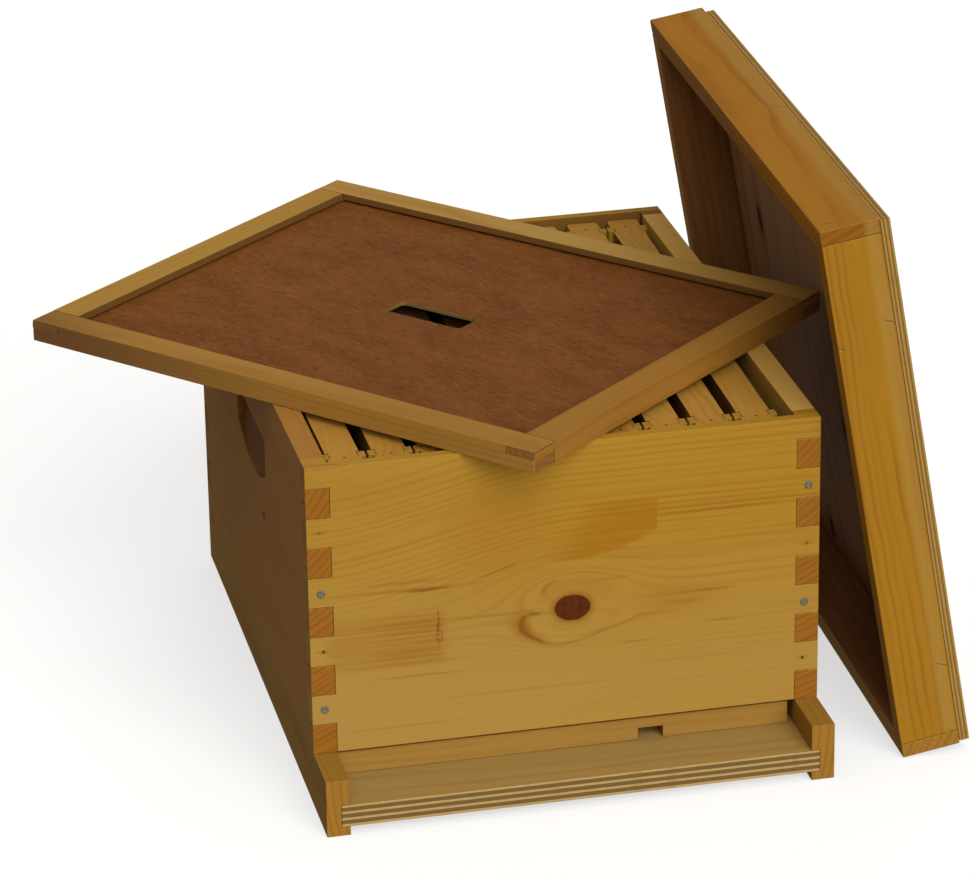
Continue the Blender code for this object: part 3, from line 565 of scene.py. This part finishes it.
def ply(name, origin, axes, thickness, dark_layers, sheet, seed, face, sheets, knots=()):
    """Plywood: a pine face veneer, and alternate pale and dark layers at the edges."""
    t = Tree(name)
    x, y, z = t.local(origin, axes)
    wave = t.noise(t.mul(x, 3.0), t.mul(y, 7.0), seed, 2.0)
    lane = t.add(y, t.mul(wave, 0.05))
    bands = t.noise(t.mul(x, 1.6), t.mul(lane, 110.0), seed, 3.0, 0.6)
    fibre = t.noise(t.mul(x, 24.0), t.mul(y, 1200.0), seed, 2.0)
    dark = t.add(t.mul(t.step(bands, 0.45, 0.75), 0.6), t.mul(t.sub(fibre, 0.5), 0.3))
    top = t.mix(t.math("ADD", dark, 0.15, clamp=True), *face)
    for kx, ky, rx, ry in knots:
        top = t.mix(t.mul(t.spot(x, y, kx, ky, rx * 2.6, ry * 2.0, 0.7), 0.45), top, face[1])
        top = t.mix(t.mul(t.spot(x, y, kx, ky, rx, ry, 0.35), 0.9), top, (0.030, 0.012, 0.006))
    # Pale sheets stand between thicker dark ones, with a pale sheet outermost on each side.
    pitch = (thickness - sheet) / dark_layers
    ragged = t.mul(t.sub(t.noise(t.mul(x, 90.0), t.mul(y, 90.0), t.mul(z, 900.0), 2.0), 0.5), 0.10)
    phase = t.math("FRACT", t.add(t.math("DIVIDE", t.math("ABSOLUTE", z), pitch), ragged))
    core = t.mul(t.step(phase, sheet / pitch - 0.05, sheet / pitch + 0.05), t.step(phase, 1.0, 0.96))
    speck = t.noise(t.mul(x, 700.0), t.mul(y, 700.0), t.mul(z, 2200.0), 2.0)
    blotch = t.noise(t.mul(x, 60.0), t.mul(y, 60.0), seed, 3.0)
    edge = t.mix(core, sheets[0], sheets[1])
    edge = t.mix(t.mul(t.step(speck, 0.52, 0.7), 0.35), edge, tuple(0.5 * c for c in sheets[1]))
    edge = t.mix(t.mul(t.step(blotch, 0.50, 0.75), 0.35), edge, sheets[1])
    flat = t.facing(axes[2])
    height = t.add(t.mul(fibre, 0.6), t.mul(bands, 0.4))
    return t.finish(t.mix(flat, edge, top), t.add(t.mul(bands, 0.12), 0.5), height)


dress(["bottom_floor"], ply(
    "ply_floor", at(0, -LANDING_MM, FLOOR_TOP_MM), (X, Y, Z), 0.0184, 3, 1.9 * MM, 21.0,
    ((0.338, 0.216, 0.064), (0.255, 0.148, 0.034)), ((0.42, 0.29, 0.11), (0.160, 0.092, 0.030))), 0.3 * MM)
dress(["outer_cover_panel"], ply(
    "ply_outer", OUTER + OUTER_W * 0.0563, (OUTER_V, -OUTER_U, OUTER_W), 0.008, 2, 1.6 * MM, 25.0,
    ((0.400, 0.215, 0.100), (0.215, 0.092, 0.040)), ((0.330, 0.212, 0.062), (0.215, 0.095, 0.016)),
    ((0.296, -0.460, 0.014, 0.007), (0.034, -0.366, 0.010, 0.006), (0.180, -0.250, 0.009, 0.006))), 0.3 * MM)


# --- Nails ----------------------------------------------------------------------------------------------

def steel(name, tone, metallic):
    t = Tree(name)
    x, y, z = t.split(t.coords.outputs["Object"])
    blotch = t.noise(t.mul(x, 700.0), t.mul(y, 700.0), t.mul(z, 700.0), 3.0)
    colour = t.mix(t.step(blotch, 0.35, 0.70), tone, tuple(0.45 * c for c in tone))
    t.shader.inputs["Metallic"].default_value = metallic
    return t.finish(colour, t.add(0.38, t.mul(blotch, 0.25)), blotch, 0.4, 0.15 * MM)


def nail_heads(name, spots, radius, material, body):
    """Flat nail heads driven flush, each with a dished face, a rounded rim and the start of its shank.
    spots are (centre, the way the head faces)."""
    profile = ((0.0, 0.10), (0.45, 0.12), (0.80, 0.22), (0.95, 0.18), (1.0, 0.02), (1.0, -0.20),
               (0.42, -0.32), (0.42, -1.60), (0.0, -1.90))
    steps = 20
    bm = bmesh.new()
    for centre, facing in spots:
        turn = facing.to_track_quat("Z", "Y")
        rows = []
        for reach, rise in profile:
            row = []
            for k in range(1 if reach == 0.0 else steps):
                angle = math.tau * k / steps
                point = Vector((reach * math.cos(angle), reach * math.sin(angle), rise))
                row.append(bm.verts.new(centre + turn @ (point * radius)))
            rows.append(row)
        for inner, outer in zip(rows, rows[1:]):
            for k in range(steps):
                ring = [inner[k % len(inner)], outer[k % len(outer)], outer[(k + 1) % len(outer)],
                        inner[(k + 1) % len(inner)]]
                bm.faces.new(list(dict.fromkeys(ring)))
    bmesh.ops.recalc_face_normals(bm, faces=bm.faces[:])
    mesh = bpy.data.meshes.new(name)
    bm.to_mesh(mesh)
    bm.free()
    for face in mesh.polygons:
        face.use_smooth = True
    made = bpy.data.objects.new(name, mesh)
    bpy.context.scene.collection.objects.link(made)
    made.data.materials.append(material)
    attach(made, body)


NAIL_RADIUS, PIN_RADIUS = 3.4 * MM, 1.1 * MM
galvanised = steel("nail_steel", (0.200, 0.190, 0.130), 0.30)
dull = steel("pin_steel", (0.110, 0.060, 0.028), 0.0)
NAIL_SPOTS = ((-196.4, 138.0), (-196.4, 38.0), (197.0, 187.5), (194.5, 86.0))    # x and z, in mm
corner_nails = [(at(x, -HALF_Y / MM, z), -Y) for x, z in NAIL_SPOTS]
corner_nails += [(at(-x, HALF_Y / MM, z), Y) for x, z in NAIL_SPOTS]
nail_heads("corner_nails", corner_nails, NAIL_RADIUS, galvanised, "hive_body")

PIN_Y = 0.2245    # from the middle of the hive to the pins in the top bars
pins = {"hive_body": [], "last_frame": []}
for index in range(10):
    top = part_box(f"frame_{index + 1:02d}_top_bar")[1][2]
    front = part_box(f"frame_{index + 1:02d}_front_end_bar")
    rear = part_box(f"frame_{index + 1:02d}_rear_end_bar")
    for box, side in ((front, -1), (rear, 1)):
        spot = Vector(((box[0][0] + box[1][0]) / 2, HIVE.y + side * PIN_Y, top))
        pins["last_frame" if index == 9 else "hive_body"].append((spot, Z))
for body, spots in pins.items():
    nail_heads(f"bar_pins_{body}", spots, PIN_RADIUS, dull, body)


# --- Floor, light and camera ----------------------------------------------------------------------------

def flat_stage(name, half, z):
    bm = bmesh.new()
    bmesh.ops.create_grid(bm, x_segments=2, y_segments=2, size=half)
    bmesh.ops.translate(bm, verts=bm.verts, vec=(0, 0, z))
    mesh = bpy.data.meshes.new(name)
    bm.to_mesh(mesh)
    bm.free()
    made = bpy.data.objects.new(name, mesh)
    bpy.context.scene.collection.objects.link(made)
    return made


FLOOR_HALF, FLOOR_Z = 14.0, -0.0005
GREY, GLOW = 0.42, 0.60
floor = flat_stage("floor", FLOOR_HALF, FLOOR_Z)
paper = Tree("paper")
paper.shader.inputs["Base Color"].default_value = (GREY, GREY, GREY, 1.0)
paper.shader.inputs["Emission Color"].default_value = (1.0, 1.0, 1.0, 1.0)
paper.shader.inputs["Emission Strength"].default_value = GLOW
paper.shader.inputs["Roughness"].default_value = 0.9
paper.shader.inputs["Specular IOR Level"].default_value = 0.0
floor.data.materials.append(paper.material)
floor.visible_diffuse = False
floor.visible_glossy = False

AMBIENT = 0.24
world = bpy.data.worlds.new("studio")
bpy.context.scene.world = world
world.use_nodes = True
backdrop = world.node_tree.nodes["Background"]
backdrop.inputs["Color"].default_value = (1.0, 0.95, 0.86, 1.0)
backdrop.inputs["Strength"].default_value = AMBIENT


def soft_light(name, azimuth, elevation, strength, spread, glints=True):
    """Even light from one side, as wide as the given angle. Azimuth 0 is in front of the hive. glints says
    whether the light is mirrored in glossy surfaces."""
    light = bpy.data.lights.new(name, "SUN")
    light.energy = strength
    light.angle = math.radians(spread)
    light.color = (1.0, 0.985, 0.955)
    made = bpy.data.objects.new(name, light)
    bpy.context.scene.collection.objects.link(made)
    a, e = math.radians(azimuth), math.radians(elevation)
    towards = Vector((math.sin(a) * math.cos(e), -math.cos(a) * math.cos(e), math.sin(e)))
    made.rotation_euler = towards.to_track_quat("Z", "Y").to_euler()
    made.visible_glossy = glints


soft_light("front_light", 8.0, 28.0, 3.36, 52.0)
soft_light("overhead_light", 0.0, 80.0, 0.80, 70.0, False)
soft_light("rear_light", 168.0, 26.0, 0.60, 60.0, False)

bpy.context.scene.view_settings.view_transform = "Standard"

AZIMUTH, ELEVATION, ROLL = math.radians(-12.33), math.radians(22.77), math.radians(-0.961)
STAND, LENS, SENSOR = (-742.4, -3361.6, 1591.0), 165.32, 36.0
forward = Vector((-math.sin(AZIMUTH) * math.cos(ELEVATION), math.cos(AZIMUTH) * math.cos(ELEVATION),
                  -math.sin(ELEVATION)))
right = Vector((math.cos(AZIMUTH), math.sin(AZIMUTH), 0))
up = right.cross(forward)
rolled_right = right * math.cos(ROLL) + up * math.sin(ROLL)
rolled_up = up * math.cos(ROLL) - right * math.sin(ROLL)
camera_data = bpy.data.cameras.new("camera")
camera_data.sensor_width = SENSOR
camera_data.lens = LENS
camera_data.clip_end = 60.0
camera = bpy.data.objects.new("camera", camera_data)
bpy.context.scene.collection.objects.link(camera)
camera.matrix_world = Matrix.Translation(at(*STAND)) @ Matrix(
    (rolled_right, rolled_up, -forward)).transposed().to_4x4()
bpy.context.scene.camera = camera
